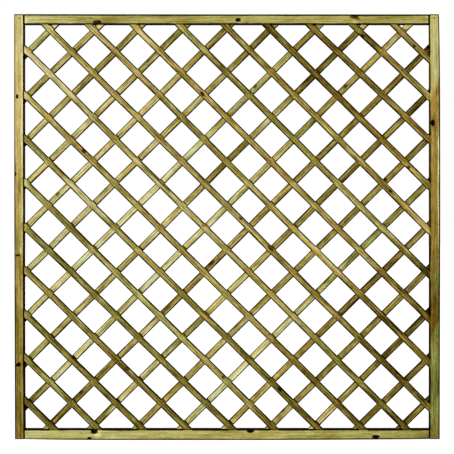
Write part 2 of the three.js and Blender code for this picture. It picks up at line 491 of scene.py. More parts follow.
@dataclass(frozen=True)
class DirtAndShade:
    """Where a board holds dirt and painted shade.

    Low and high lie along the arrises of the board's -X and +X side, as dirt and painted shade, and the grooved
    side on +X can be dark as a whole with painted shade. A drift tells how strong they are at the board's -Z and
    +Z end. Where other boards cross, the bands of both sides can be lifted but for what is kept, and a painted
    shadow can be laid on the front. The bands at the -Z and the +Z end are measured back from a distance along the
    board, the others from the frame's inner faces, where they are painted shade and, where negative, painted
    highlight. The grooved side's painted shade runs from one depth to the next, and fades between two distances
    from the front. Inside the end rim, a grooved board's sawn ends stay free of the arris and groove bands.
    """

    low: tuple[Band, ...]
    high: tuple[Band, ...]
    high_kept: tuple[Band, ...] = ()
    low_drift: tuple[float, float] = EVEN
    high_drift: tuple[float, float] = EVEN
    # Shares of the edge dirt and painted shade lifted where other boards cross
    low_lift: float = 0.0
    high_lift: float = 0.0
    # Painted shadow laid on the front face beside crossings
    crossing_shadow: float = 0.0
    # Painted shade on the grooved side
    groove_shade: float = 0.0
    groove_depth: float = 14 * MM
    groove_rim: float = 0.2 * MM
    groove_sunk: tuple[float, float] = (0.8 * MM, 2.2 * MM)
    groove_fade: tuple[float, float] = (8 * MM, 22 * MM)
    groove_far: float = 0.4
    end_rim: tuple[float, float] = (0.2 * MM, 0.5 * MM)
    low_end: tuple[Band, ...] = ()
    high_end: tuple[Band, ...] = ()
    end_at: float = 0.0
    # Beside the frame's inner faces: painted shade, and painted highlight where a band is negative
    at_left: tuple[Band, ...] = ()
    at_right: tuple[Band, ...] = ()
    at_top: tuple[Band, ...] = ()
    at_bottom: tuple[Band, ...] = ()
    opening: Opening | None = None


@dataclass(frozen=True)
class TreatedPine:
    """Planed pressure-treated pine, weathered outdoors.

    The eye sees lengthwise streaks of early and late wood, brown knots, cloudy green and rosy patches from the
    treatment, and arrises that hold dirt and painted shade and look nearly black, with painted shade in the
    crevices where boards meet. Each layer of the pattern makes the wood paler or darker on one scale of colours,
    in which dark wood is the more saturated. The pith's two ranges are in millimetres, and a knot's rim and reach
    are in shares of its half size.
    """

    figure: Figure
    seed: int
    dirt_and_shade: DirtAndShade
    fibre: Pattern = Pattern(0.8 * MM, 25 * MM, 0.45, 1)
    streak: Pattern = Pattern(4.5 * MM, 110 * MM, 1.05, 2, 3.0)
    cloud: Pattern = Pattern(80 * MM, 260 * MM, 0.30, 3)
    fleck: Pattern = Pattern(3.2 * MM, 13 * MM, 0.45, 4)
    stain: Pattern = Pattern(18 * MM, 45 * MM, 0.45, 5, 3.0)
    sway: Pattern = Pattern(110 * MM, 330 * MM, 16 * MM, 6, 1.0)
    tint: Pattern = Pattern(16 * MM, 180 * MM, 1.5, 7, 3.0)
    yellowing: Pattern = Pattern(18 * MM, 140 * MM, 3.5, 8, 3.0)
    pith_aside: tuple[float, float] = (-30, 30)
    pith_away: tuple[float, float] = (25, 60)
    ring_width: float = 3.2 * MM
    ring_strength: float = 0.09
    ring_power: float = 2.0
    knot_strength: float = 0.45
    knot_rim: tuple[float, float] = (1.25, 0.75)
    knot_reach: float = 3.2
    knot_push: float = 0.6
    uneven_most: float = 0.3
    uneven_length: float = 0.2
    arris_wave: float = 2.5 * MM
    # Painted shade in crevices, darkest where ambient occlusion finds the wood most enclosed
    crevice_shade_strength: float = 0.4
    crevice_shade_reach: float = 22 * MM
    crevice_shade_openness: tuple[float, float] = (0.5, 0.22)
    crevice_shade_samples: int = 6
    greenish: str = "#cfedf2"
    rosy: str = "#f8e4d8"
    tint_gain: float = 1.15
    fresh: str = "#ffffff"
    yellowed: str = "#ffffd6"
    rough_streak: tuple[float, float] = (0.3, 0.7)
    roughness: tuple[float, float] = (0.72, 0.9)
    gloss: float = 0.02
    fibre_relief: float = 0.6
    relief: float = 0.25 * MM
    relief_strength: float = 0.4

    def material(self, name: str, place: Place, knots: list[tuple[Vector, Knot]]) -> bpy.types.Material:
        """Build the board's material.

        Args:
            name: The material's name.
            place: The board's place, for its length and section.
            knots: The board's knots, each with its place in the board's frame.

        Returns:
            The material.
        """
        material = new_material(name)
        BoardWiring(material.node_tree, self, place).wire(knots)
        return material


@dataclass
class BoardWiring(Wiring):
    """The pattern of one board's wood, wired from the board's own coordinates."""

    pine: TreatedPine
    place: Place

    def __post_init__(self) -> None:
        """Take up the board's coordinates, and the streaks that several layers follow."""
        self.vector = self.attribute(BOARD_COORDINATES, "Vector")
        self.x, self.y, self.z = self.parted(self.vector)
        self.streak = self.noise(self.pine.streak)

    def wire(self, knots: list[tuple[Vector, Knot]]) -> None:
        """Wire the whole pattern to the surface.

        Args:
            knots: The board's knots, each with its place in the board's frame.
        """
        pine = self.pine
        heart, swirl = self.knots(knots)
        fibre = self.noise(pine.fibre)
        cloud = self.noise(pine.cloud)
        late_wood = self.rings(swirl)
        pale, hue = self.tone(cloud)
        for noise, strength in (
            (fibre, pine.fibre.strength),
            (self.streak, pine.streak.strength),
            (cloud, pine.cloud.strength),
            (self.noise(pine.fleck), pine.fleck.strength),
            (self.noise(pine.stain), pine.stain.strength),
            (late_wood, -pine.ring_strength),
        ):
            pale = self.plus(pale, self.swing(noise, strength))
        # Dirt and painted shade at the edges, painted shade in the crevices, and the knots darken the wood
        for darkness in (self.edges(), self.painted_crevice_shade(), heart):
            if darkness is not None:
                pale = self.maths("SUBTRACT", pale, darkness)
        colour = self.ramp(pale, [(position, linear(shade)) for position, shade in PINE_SCALE])
        height = self.maths("MULTIPLY_ADD", fibre, pine.fibre_relief, late_wood)
        bump = add_node(self.tree, "ShaderNodeBump", {}, {
            "Strength": pine.relief_strength, "Distance": pine.relief, "Height": height,
        })
        self.feed({
            "Base Color": self.tinted(colour, self.plus(hue, heart)),
            "Roughness": self.eased(self.streak, *pine.rough_streak, *pine.roughness),
            "Specular IOR Level": pine.gloss,
            "Normal": bump.outputs["Normal"],
        })

    def noise(self, pattern: Pattern) -> Socket:
        """Add the noise of one pattern, about 0.2 to 0.8."""
        across, along = 1 / pattern.across, 1 / pattern.along
        return add_node(self.tree, "ShaderNodeTexNoise", {"noise_dimensions": "4D"}, {
            "Vector": self.vectors("MULTIPLY", self.vector, (across, across, along)),
            "W": SEED_STEP * self.pine.seed + SALT_STEP * pattern.salt, "Scale": 1.0, "Detail": pattern.detail,
        }).outputs["Fac"]

    def rings(self, swirl: Socket | None) -> Socket:
        """Add the growth rings, as shells round a pith that lies beside the board.

        Args:
            swirl: How far the knots push the rings, in metres, or None.

        Returns:
            0 in early wood, rising to 1 at each ring's dark late wood.
        """
        pine = self.pine
        chance = random.Random(pine.seed)
        aside = chance.uniform(*pine.pith_aside) * MM
        away = chance.choice((-1, 1)) * chance.uniform(*pine.pith_away) * MM
        flat = self.vectors("MULTIPLY_ADD", self.vector, (1.0, 1.0, 0.0), (-aside, -away, 0.0))
        radius = self.maths(
            "MULTIPLY_ADD", self.noise(pine.sway), pine.sway.strength, self.vectors("LENGTH", flat),
        )
        count = self.maths("DIVIDE", self.plus(radius, swirl), pine.ring_width)
        return self.maths("POWER", self.maths("FRACT", count), pine.ring_power)

    def knots(self, knots: list[tuple[Vector, Knot]]) -> tuple[Socket | None, Socket | None]:
        """Add the board's knots.

        Args:
            knots: Each knot with its place in the board's frame.

        Returns:
            How much the knots darken, and how far they push the growth rings, or None twice without knots.
        """
        pine = self.pine
        heart: Socket | None = None
        swirl: Socket | None = None
        for place, knot in knots:
            moved = self.vectors("SUBTRACT", self.vector, (place.x, 0.0, place.z))
            size = (2 / knot.size, 0.0, 2 / (knot.size * knot.length))
            away = self.vectors("LENGTH", self.vectors("MULTIPLY", moved, size))
            heart = self.plus(heart, self.eased(away, *pine.knot_rim, 0.0, pine.knot_strength * knot.depth))
            swirl = self.plus(swirl, self.eased(away, pine.knot_reach, 0.0, 0.0, pine.knot_push * knot.size))
        return heart, swirl

    def tone(self, cloud: Socket) -> tuple[Socket, Socket]:
        """Add the board's tones, one after the other along its length.

        Args:
            cloud: A slow noise that makes the change from tone to tone uneven.

        Returns:
            How pale the wood is, and its hue from 0 for green to 1 for rosy.
        """
        pine, half = self.pine, self.place.half.z
        aslant = self.maths("MULTIPLY_ADD", self.x, pine.figure.slant, self.z)
        along = self.straight(aslant, -half, half, 0.0, 1.0)
        wave = self.swing(cloud, min(pine.uneven_most, pine.uneven_length / half))
        ramp = self.ramp(self.plus(along, wave), pine.figure.stops())
        parts = add_node(self.tree, "ShaderNodeSeparateColor", {}, {0: ramp}).outputs
        return parts["Red"], parts["Green"]

    def tinted(self, colour: Socket, hue: Socket) -> Socket:
        """Lay greenish, rosy and yellowed patches over a colour.

        Args:
            colour: The colour.
            hue: The board's own hue, from 0 for green to 1 for rosy.

        Returns:
            The tinted colour.
        """
        pine = self.pine
        patches = self.swing(self.noise(pine.tint), pine.tint.strength)
        tint = self.mix(self.plus(hue, patches), pine.greenish, pine.rosy)
        spread = pine.yellowing.strength / 2
        yellow = self.straight(self.noise(pine.yellowing), 0.0, 1.0, 0.5 - spread, 0.5 + spread)
        gain = (pine.tint_gain,) * 3
        laid = self.vectors("MULTIPLY", colour, self.vectors("MULTIPLY", tint, gain))
        return self.vectors("MULTIPLY", laid, self.mix(yellow, pine.fresh, pine.yellowed))

    def edges(self) -> Socket:
        """Add the dirt and painted shade along the arrises, the painted shade on the grooved side, the painted
        shadow beside crossings, and the bands at the ends and by the frame: how much it darkens.
        """
        dirt_and_shade, half = self.pine.dirt_and_shade, self.place.half
        deep = self.maths("SUBTRACT", half.y, self.maths("ABSOLUTE", self.y))
        outer, inner = self.inward(self.x, half.x, -1), self.inward(self.x, half.x, 1)
        low = self.drifting(self.arris(outer, deep, dirt_and_shade.low), dirt_and_shade.low_drift)
        high = self.drifting(self.arris(inner, deep, dirt_and_shade.high), dirt_and_shade.high_drift)
        if dirt_and_shade.groove_shade > 0:
            high = self.plus(high, self.groove_shade(deep))
        crossing = self.attribute(CROSSINGS, "Fac")
        low = self.lifted(low, crossing, dirt_and_shade.low_lift)
        high = self.lifted(high, crossing, dirt_and_shade.high_lift)
        total = self.plus(low, high)
        if dirt_and_shade.high_kept:
            total = self.plus(total, self.arris(inner, deep, dirt_and_shade.high_kept))
        if dirt_and_shade.groove_shade > 0:
            total = self.maths("MULTIPLY", total, self.off_the_ends())
        # Painted shadow of each front lath, laid on the back lath's front beside the crossing
        if dirt_and_shade.crossing_shadow > 0:
            facing = self.eased(self.y, 0.0, -0.5 * half.y, 0.0, dirt_and_shade.crossing_shadow)
            total = self.plus(total, self.maths("MULTIPLY", crossing, facing))
        total = self.bands(self.inward(self.z, dirt_and_shade.end_at, -1), dirt_and_shade.low_end, total)
        total = self.bands(self.inward(self.z, dirt_and_shade.end_at, 1), dirt_and_shade.high_end, total)
        if dirt_and_shade.opening is not None:
            total = self.by_the_frame(dirt_and_shade.opening, total)
        return total

    def groove_shade(self, deep: Socket) -> Socket:
        """Paint shade on the grooved side, most of all towards the front.

        Args:
            deep: How far a point lies in from the front or back.

        Returns:
            How much the painted shade darkens.
        """
        dirt_and_shade, half = self.pine.dirt_and_shade, self.place.half
        edge = half.x - dirt_and_shade.groove_depth
        inside = self.eased(self.x, edge, edge + dirt_and_shade.groove_rim, 0.0, dirt_and_shade.groove_shade)
        sunk = self.eased(deep, *dirt_and_shade.groove_sunk, 0.0, 1.0)
        fading = self.eased(self.inward(self.y, half.y, -1), *dirt_and_shade.groove_fade, 1.0, dirt_and_shade.groove_far)
        return self.maths("MULTIPLY", inside, self.maths("MULTIPLY", sunk, fading))

    def off_the_ends(self) -> Socket:
        """Give 0 on the board's two sawn end faces and 1 all along it."""
        near, far = (self.place.half.z - inset for inset in self.pine.dirt_and_shade.end_rim)
        return self.eased(self.maths("ABSOLUTE", self.z), near, far, 0.0, 1.0)

    def by_the_frame(self, opening: Opening, total: Socket) -> Socket:
        """Add the bands beside the frame's inner faces: painted shade, and painted highlight where a band is
        negative.

        Args:
            opening: Where the faces are, in the panel's frame.
            total: How much the dirt and painted shade darken so far.

        Returns:
            How much it darkens with the bands.
        """
        dirt_and_shade = self.pine.dirt_and_shade
        x, _, z = self.parted(add_node(self.tree, "ShaderNodeTexCoord").outputs["Object"])
        for coordinate, side, face, bands in (
            (x, -1, -opening.left, dirt_and_shade.at_left),
            (x, 1, opening.right, dirt_and_shade.at_right),
            (z, -1, -opening.bottom, dirt_and_shade.at_bottom),
            (z, 1, opening.top, dirt_and_shade.at_top),
        ):
            total = self.bands(self.inward(coordinate, face, side), bands, total)
        return total

    def drifting(self, value: Socket, drift: tuple[float, float]) -> Socket:
        """Multiply a value by a factor that changes evenly from the board's -Z end to its +Z end."""
        if drift == EVEN:
            return value
        half = self.place.half.z
        return self.maths("MULTIPLY", value, self.straight(self.z, -half, half, *drift))

    def lifted(self, value: Socket, crossing: Socket, share: float) -> Socket:
        """Take a share of a value away where other boards cross."""
        if share <= 0:
            return value
        return self.maths("MULTIPLY", value, self.straight(crossing, 0.0, 1.0, 1.0, 1.0 - share))

    def inward(self, coordinate: Socket, half: float, side: int) -> Socket:
        """Measure how far a point lies in from the face on one side, -1 or 1, a half size away."""
        return self.maths("MULTIPLY_ADD", coordinate, -side, half)

    def arris(self, inward: Socket, deep: Socket, bands: tuple[Band, ...]) -> Socket | None:
        """Add the bands along the two arrises of one side.

        Args:
            inward: How far a point lies in from the side.
            deep: How far a point lies in from the front or back.
            bands: The bands.

        Returns:
            How much they darken.
        """
        corner = add_node(self.tree, "ShaderNodeCombineXYZ", {}, {"X": inward, "Y": deep}).outputs[0]
        wave = self.swing(self.streak, self.pine.arris_wave)
        return self.bands(self.plus(self.vectors("LENGTH", corner), wave), bands)

    def bands(self, distance: Socket, bands: tuple[Band, ...], total: Socket | None = None) -> Socket | None:
        """Add bands that lie one inside the other beside an edge.

        Args:
            distance: How far a point lies from the edge.
            bands: The bands.
            total: How much the dirt and painted shade darken so far, if any.

        Returns:
            How much it darkens with the bands.
        """
        for band in bands:
            dark = self.eased(distance, band.clear, band.full, 0.0, band.dark)
            if band.begin > 0:
                clean = self.eased(distance, band.begin, 0.5 * band.begin, 0.0, band.dark)
                dark = self.maths("SUBTRACT", dark, clean)
            total = self.plus(total, dark)
        return total

    def painted_crevice_shade(self) -> Socket:
        """Paint shade where the wood meets another board, as ambient occlusion finds it."""
        pine = self.pine
        settings = {"samples": pine.crevice_shade_samples}
        opening = add_node(self.tree, "ShaderNodeAmbientOcclusion", settings, {"Distance": pine.crevice_shade_reach})
        return self.eased(opening.outputs["AO"], *pine.crevice_shade_openness, 0.0, pine.crevice_shade_strength)


@dataclass(frozen=True)
class GalvanisedSteel:
    """Hot-dip galvanised steel that has stood outdoors.

    The eye sees a dull, dark grey metal with cloudy patches, and brown rust where the coating has gone. Each pair
    of values is the coating's and the rust's.
    """

    rust_share: float = 0.3
    grey: str = "#6b6c64"
    rust: str = "#6e4424"
    patch: float = 2 * MM
    detail: float = 3.0
    middle: float = 0.7
    middle_per_rust: float = 0.4
    rim: float = 0.06
    metallic: tuple[float, float] = (0.9, 0.1)
    roughness: tuple[float, float] = (0.5, 0.85)

    def material(self, name: str) -> bpy.types.Material:
        """Build the metal's material under a name."""
        material = new_material(name)
        wiring = Wiring(material.node_tree)
        noise = add_node(wiring.tree, "ShaderNodeTexNoise", {}, {
            "Vector": add_node(wiring.tree, "ShaderNodeTexCoord").outputs["Object"],
            "Scale": 1 / self.patch, "Detail": self.detail,
        })
        middle = self.middle - self.middle_per_rust * self.rust_share
        share = wiring.mapped(noise.outputs["Fac"], middle - self.rim, middle + self.rim, 0.0, 1.0)
        wiring.feed({
            "Base Color": wiring.mix(share, self.grey, self.rust),
            "Metallic": wiring.mapped(share, 0.0, 1.0, *self.metallic),
            "Roughness": wiring.mapped(share, 0.0, 1.0, *self.roughness),
        })
        return material


def finish_piece(name: str, mesh: Mesh, material: bpy.types.Material, slot: str, *nodes: str) -> None:
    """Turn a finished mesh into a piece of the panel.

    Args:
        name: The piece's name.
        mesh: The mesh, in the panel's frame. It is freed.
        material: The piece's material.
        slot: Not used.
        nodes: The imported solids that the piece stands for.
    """
    data = bpy.data.meshes.new(name)
    mesh.to_mesh(data)
    mesh.free()
    data.materials.append(material)
    piece = add_object(name, data)
    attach(piece, BODY)
    if nodes:
        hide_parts(*nodes)
    log.info("%s: %d faces", name, len(data.polygons))


@dataclass(frozen=True)
class Wander:
    """The slight bow of a real board across its face: a slow wave and a quicker one, held at both ends."""

    seed: int
    half_length: float
    slow: float = 1.0 * MM
    quick: float = 0.35 * MM
    slow_length: float = 1.3
    quick_length: float = 0.31
    held: float = 70 * MM

    def across(self, along: float) -> float:
        """How far the board lies aside at a distance along it."""
        chance = random.Random(self.seed)
        slow_start = chance.uniform(0, math.tau)
        quick_start = chance.uniform(0, math.tau)
        wave = self.slow * math.sin(math.tau * along / self.slow_length + slow_start)
        wave += self.quick * math.sin(math.tau * along / self.quick_length + quick_start)
        free = max(0.0, min(1.0, (self.half_length - abs(along)) / self.held - 0.5))
        return wave * free


def keep_board_coordinates(mesh: Mesh) -> None:
    """Write each vertex's place in the straight board to the attribute that the wood's pattern follows."""
    layer = mesh.verts.layers.float_vector.new(BOARD_COORDINATES)
    for vertex in mesh.verts:
        vertex[layer] = vertex.co


def soften_arrises(mesh: Mesh) -> None:
    """Shade the rounded arrises of a board smooth and leave its flat faces flat."""
    mesh.normal_update()
    for face in mesh.faces:
        across, through, along = (abs(value) for value in face.normal)
        face.smooth = along < 0.1 and max(across, through) < 0.999


@dataclass(frozen=True)
class Stations:
    """Where a board is cut into short lengths, so that it can bow and know where others cross it.

    The profile tells, at distances from the middle of a crossing, how much the other board matters there.
    """

    half_length: float
    crossings: tuple[float, ...] = ()
    profile: tuple[tuple[float, float], ...] = ()
    spacing: float = 50 * MM
    closest: float = 0.8 * MM

    def places(self) -> list[float]:
        """Give the distances along the board."""
        edges = [crossing + offset for crossing in self.crossings for offset, _ in self.profile]
        count = max(1, round(2 * self.half_length / self.spacing))
        even = [2 * self.half_length * (index / count - 0.5) for index in range(1, count)]
        edges += [place for place in even if all(abs(place - edge) > self.closest for edge in edges)]
        return [place for place in edges if abs(place) < self.half_length - self.closest]

    def cut(self, mesh: Mesh) -> None:
        """Cut a board that lies in its own frame."""
        for place in self.places():
            everything = mesh.verts[:] + mesh.edges[:] + mesh.faces[:]
            bmesh.ops.bisect_plane(mesh, geom=everything, plane_co=(0, 0, place), plane_no=(0, 0, 1))

    def mark(self, mesh: Mesh) -> None:
        """Write to each vertex how much the boards that cross matter there, from 0 to 1."""
        layer = mesh.verts.layers.float.new(CROSSINGS)
        for vertex in mesh.verts:
            vertex[layer] = max((self._at(vertex.co.z - crossing) for crossing in self.crossings), default=0.0)

    def _at(self, offset: float) -> float:
        """Read the profile at a distance from a crossing."""
        for (start, low), (end, high) in zip(self.profile, self.profile[1:]):
            if start <= offset <= end:
                return low + (high - low) * (offset - start) / (end - start)
        return 0.0


@dataclass(frozen=True)
class Edge:
    """How far one long side of a bar lies towards +X of its straight line: all along, and more at its ends."""

    even: float = 0.0
    low: float = 0.0
    high: float = 0.0
    low_power: float = 2.5
    high_power: float = 2.5

    def aside(self, share: float) -> float:
        """How far the side lies aside, at a share of the way from its middle to an end."""
        most, power = (self.low, self.low_power) if share < 0 else (self.high, self.high_power)
        return self.even + most * abs(share) ** power


@dataclass(frozen=True)
class Shape:
    """How a sawn bar differs from a straight one: by its two long sides, and by how short its ends are."""

    outer: Edge = Edge()
    inner: Edge = Edge()
    low_short: float = 0.0
    high_short: float = 0.0
    end_zone: float = 8 * MM

    def moved(self, point: Vector, half: Vector) -> Vector:
        """Give a point's place on the real bar.

        Args:
            point: The point on the straight bar.
            half: Half the straight bar's size.

        Returns:
            The point on the real bar.
        """
        share = point.z / half.z
        inner_part = max(0.0, min(1.0, 0.5 + 0.5 * point.x / half.x))
        aside = self.outer.aside(share) * (1 - inner_part) + self.inner.aside(share) * inner_part
        along = 0.0
        if point.z < self.end_zone - half.z:
            along = self.low_short
        elif point.z > half.z - self.end_zone:
            along = -self.high_short
        return point + Vector((aside, 0, along))


def board_knots(layer: Layer, place: Place) -> list[tuple[Vector, Knot]]:
    """Find the knots that lie on a board.

    Args:
        layer: The part of the panel that the board is in.
        place: The board's place.

    Returns:
        Each knot with its place in the board's frame.
    """
    found = []
    for knot in KNOTS[layer]:
        point = place.holds(knot.x, knot.z)
        if point is not None:
            found.append((point, knot))
            log.info("knot at %.3f, %.3f", knot.x, knot.z)
    return found


@dataclass
class LathLayer:
    """One layer of the lattice: laths side by side, all sawn to the lattice's square outline."""

    layer: Layer
    node_name: str
    slot: str
    turn: float
    figures: tuple[Figure, ...]
    first_seed: int
    dirt_and_shade: DirtAndShade
    profile: tuple[tuple[float, float], ...]
    slack: float = math.radians(2.5)
    arris: float = 2.5 * MM
    arris_segments: int = 3
    places: dict[str, Place] = field(default_factory=dict)

    def measure(self) -> None:
        """Read the laths' places."""
        for index in range(len(self.figures)):
            node = f"{self.node_name}_{index + 1:02d}"
            self.places[node] = Place.of_node(node, self.turn, self.slack)

    def build(self, outline: tuple[Vector, Vector], others: "LathLayer") -> None:
        """Build every lath of the layer.

        Args:
            outline: The lattice's lowest and highest corner, where the laths are sawn off.
            others: The other layer.
        """
        for index, (node, place) in enumerate(self.places.items()):
            figure = self.figures[index]
            seed = self.first_seed + index
            crossings = tuple(place.meets(other) for other in others.places.values())
            stations = Stations(place.half.z, crossings, self.profile)
            knots = board_knots(self.layer, place)
            pine = TreatedPine(figure, seed, self.dirt_and_shade)
            material = pine.material(f"treated_pine_{node}", place, knots)
            finish_piece(f"{node}_board", self._mesh(place, outline, stations, seed), material, self.slot, node)

    def _mesh(self, place: Place, outline: tuple[Vector, Vector], stations: Stations, seed: int) -> Mesh:
        """Saw one lath.

        Args:
            place: The lath's place.
            outline: The lattice's lowest and highest corner.
            stations: Where the lath is cut into short lengths.
            seed: What tells this lath's bow from the others'.

        Returns:
            The lath, in the panel's frame.
        """
        mesh = bmesh.new()
        bmesh.ops.create_cube(mesh, size=2.0)
        bmesh.ops.scale(mesh, vec=place.half, verts=mesh.verts)
        long_edges = [edge for edge in mesh.edges if abs(edge.verts[0].co.z - edge.verts[1].co.z) > place.half.z]
        bmesh.ops.bevel(
            mesh, geom=long_edges, offset=self.arris, offset_type="OFFSET", segments=self.arris_segments,
            profile=0.5, affect="EDGES", material=-1,
        )
        stations.cut(mesh)
        for corner, outward in ((outline[0], -1), (outline[1], 1)):
            for axis in (Vector((1, 0, 0)), Vector((0, 0, 1))):
                self._saw(mesh, place.matrix.inverted(), corner, outward * axis)
        bmesh.ops.recalc_face_normals(mesh, faces=mesh.faces)
        soften_arrises(mesh)
        keep_board_coordinates(mesh)
        stations.mark(mesh)
        wander = Wander(seed, place.half.z)
        for vertex in mesh.verts:
            vertex.co.x += wander.across(vertex.co.z)
        bmesh.ops.transform(mesh, matrix=place.matrix, verts=mesh.verts)
        return mesh

    def _saw(self, mesh: Mesh, inward: Matrix, corner: Vector, normal: Vector) -> None:
        """Saw off what lies past one side of the lattice's outline, and close the cut.

        Args:
            mesh: The lath, in its own frame.
            inward: The step from the panel's frame to the lath's.
            corner: A point of the side.
            normal: The side's outward direction.
        """
        cut = bmesh.ops.bisect_plane(
            mesh, geom=mesh.verts[:] + mesh.edges[:] + mesh.faces[:], plane_co=inward @ corner,
            plane_no=inward.to_3x3() @ normal, clear_outer=True,
        )
        edges = [item for item in cut["geom_cut"] if isinstance(item, bmesh.types.BMEdge)]
        if edges:
            bmesh.ops.holes_fill(mesh, edges=edges)


@dataclass
class FrameBars:
    """The grooved stiles and rails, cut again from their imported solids."""

    pine: TreatedPine
    slot: str = "frame_pine"
    profile: tuple[tuple[float, float], ...] = (
        (-21 * MM, 0.0), (-17 * MM, 1.0), (17 * MM, 1.0), (21 * MM, 0.0),
    )
    merge: float = 0.01 * MM
    flat_angle: float = math.radians(0.5)

    def build(self, shoulder: float, entering: list[Place]) -> None:
        """Build the two stiles and the two rails.

        Args:
            shoulder: How far from the panel's middle the rails meet the stiles.
            entering: The places of the laths that come out of the grooves close to the front.
        """
        t = Tone
        sawn = (Band(0.6, 3 * MM, 6 * MM, 0.6 * MM),)
        # The groove's dark is painted shade, lifted where a lath enters near the front
        stile = {"groove_shade": 1.2, "high_lift": 0.9, "low_end": sawn, "high_end": sawn}
        stile["end_at"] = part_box("left_stile")[1].z / 2
        rail = {"groove_shade": 1.2, "high_lift": 0.9, "end_at": shoulder}
        rail["high_kept"] = (Band(0.35, 2.5 * MM, 4 * MM),)
        boards = (
            (
                "left_stile", 0.0, 101,
                Shape(
                    Edge(1.0 * MM, 3.0 * MM, -0.85 * MM, 1.2, 0.5), Edge(-0.85 * MM, 3.5 * MM, 0.0, 4.0),
                    4.4 * MM, 1.0 * MM,
                ),
                # Dirt and painted shade along the arrises, with a painted highlight beside the inner one
                DirtAndShade(
                    (Band(0.4, 4.0 * MM, 6.5 * MM),), (Band(-0.14, 8.5 * MM, 11.5 * MM, 3.8 * MM),),
                    (Band(0.8, 2.4 * MM, 3.6 * MM),), low_drift=(1.7, 0.8), high_drift=(0.5, 1.5), **stile,
                ),
                Figure(0.5, (
                    t.UMBER, t.MOSS, t.MOSS, t.TAN, t.TAN, t.SAND, t.STRAW, t.WHEAT, t.CREAM, t.WILLOW,
                )),
            ),
            (
                "right_stile", math.pi, 102,
                Shape(
                    Edge(0.0, 5.6 * MM, 2.1 * MM, 5.0, 1.2), Edge(1.7 * MM, 1.5 * MM, 1.0 * MM, 6.0, 2.0),
                    1.4 * MM, 4.4 * MM,
                ),
                DirtAndShade(
                    (Band(0.75, 4.7 * MM, 6.7 * MM),), (Band(0.75, 2.0 * MM, 3.4 * MM),),
                    low_drift=(0.7, 1.5), high_drift=(0.2, 1.3), **stile,
                ),
                Figure(0.4, (
                    t.WILLOW, t.WILLOW, t.AMBER, t.AMBER, t.AMBER, t.MOSS, t.FERN, t.RUSSET, t.RUSSET,
                    t.FERN, t.FERN, t.MINT, t.MINT, t.FERN, t.MOSS,
                ), -2.9, (
                    0.0, 0.16, 0.2, 0.4, 0.5, 0.58, 0.615, 0.65, 0.722, 0.735, 0.89, 0.905, 0.93, 0.945, 1.0,
                )),
            ),
            (
                "top_rail", math.pi / 2, 103, Shape(Edge(1.8 * MM, -1.0 * MM, 0.0, 1.0), Edge(0.4 * MM)),
                # Dirt and painted shade along the arrises, with painted highlights beside the dark joints at both
                # ends
                DirtAndShade(
                    (Band(0.95, 5.8 * MM, 8.0 * MM),), (Band(0.4, 2.5 * MM, 4 * MM),), low_drift=(0.8, 1.15),
                    low_end=(Band(0.9, 3.5 * MM, 5 * MM), Band(-0.12, 10 * MM, 14 * MM, 6 * MM)),
                    high_end=(Band(0.9, 9 * MM, 11 * MM), Band(-0.06, 15 * MM, 20 * MM, 11 * MM)), **rail,
                ),
                Figure(-0.03, (
                    t.IVORY, t.STRAW, t.TAN, t.HONEY, t.STRAW, t.SAND, t.SAND, t.SAND, t.HONEY, t.SAND,
                ), warming=0.15),
            ),
            (
                "bottom_rail", -math.pi / 2, 104,
                Shape(Edge(0.1 * MM, 5.2 * MM, 6.3 * MM, 2.2, 7.0)),
                DirtAndShade(
                    (Band(0.45, 3.0 * MM, 8 * MM),), (Band(0.5, 4 * MM, 6 * MM),), low_drift=(1.8, 0.8),
                    low_end=(Band(0.8, 7.0 * MM, 8.5 * MM, 3.0 * MM),),
                    high_end=(Band(0.7, 4.5 * MM, 6.0 * MM),), **rail,
                ),
                Figure(-0.12, (
                    t.KHAKI, t.HONEY, t.SAND, t.STRAW, t.SAND, t.SAND, t.STRAW, t.STRAW, t.STRAW, t.WHEAT,
                )),
            ),
        )
        for node, turn, seed, shape, dirt_and_shade, figure in boards:
            place = Place.of_node(node, turn)
            pine = replace(self.pine, figure=figure, seed=seed, dirt_and_shade=dirt_and_shade)
            material = pine.material(f"treated_pine_{node}", place, board_knots(Layer.BARS, place))
            entries = tuple(place.meets(lath, place.half.x) for lath in entering)
            stations = Stations(place.half.z, entries, self.profile)
            mesh = self._mesh(node, place, stations, shape)
            finish_piece(f"{node}_board", mesh, material, self.slot, node)

    def _mesh(self, node: str, place: Place, stations: Stations, shape: Shape) -> Mesh:
        """Copy a bar's solid, merge it, cut it into short lengths and shape it.

        Args:
            node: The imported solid's name.
            place: The bar's place.
            stations: Where the bar is cut.
            shape: How it differs from a straight one.

        Returns:
            The bar, in the panel's frame.
        """
        mesh = bmesh.new()
        mesh.from_mesh(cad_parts[node].data)
        bmesh.ops.remove_doubles(mesh, verts=mesh.verts, dist=self.merge)
        bmesh.ops.transform(mesh, matrix=place.matrix.inverted(), verts=mesh.verts)
        bmesh.ops.dissolve_limit(mesh, angle_limit=self.flat_angle, verts=mesh.verts, edges=mesh.edges)
        stations.cut(mesh)
        bmesh.ops.recalc_face_normals(mesh, faces=mesh.faces)
        soften_arrises(mesh)
        keep_board_coordinates(mesh)
        stations.mark(mesh)
        for vertex in mesh.verts:
            vertex.co = shape.moved(vertex.co, place.half)
        bmesh.ops.transform(mesh, matrix=place.matrix, verts=mesh.verts)
        return mesh


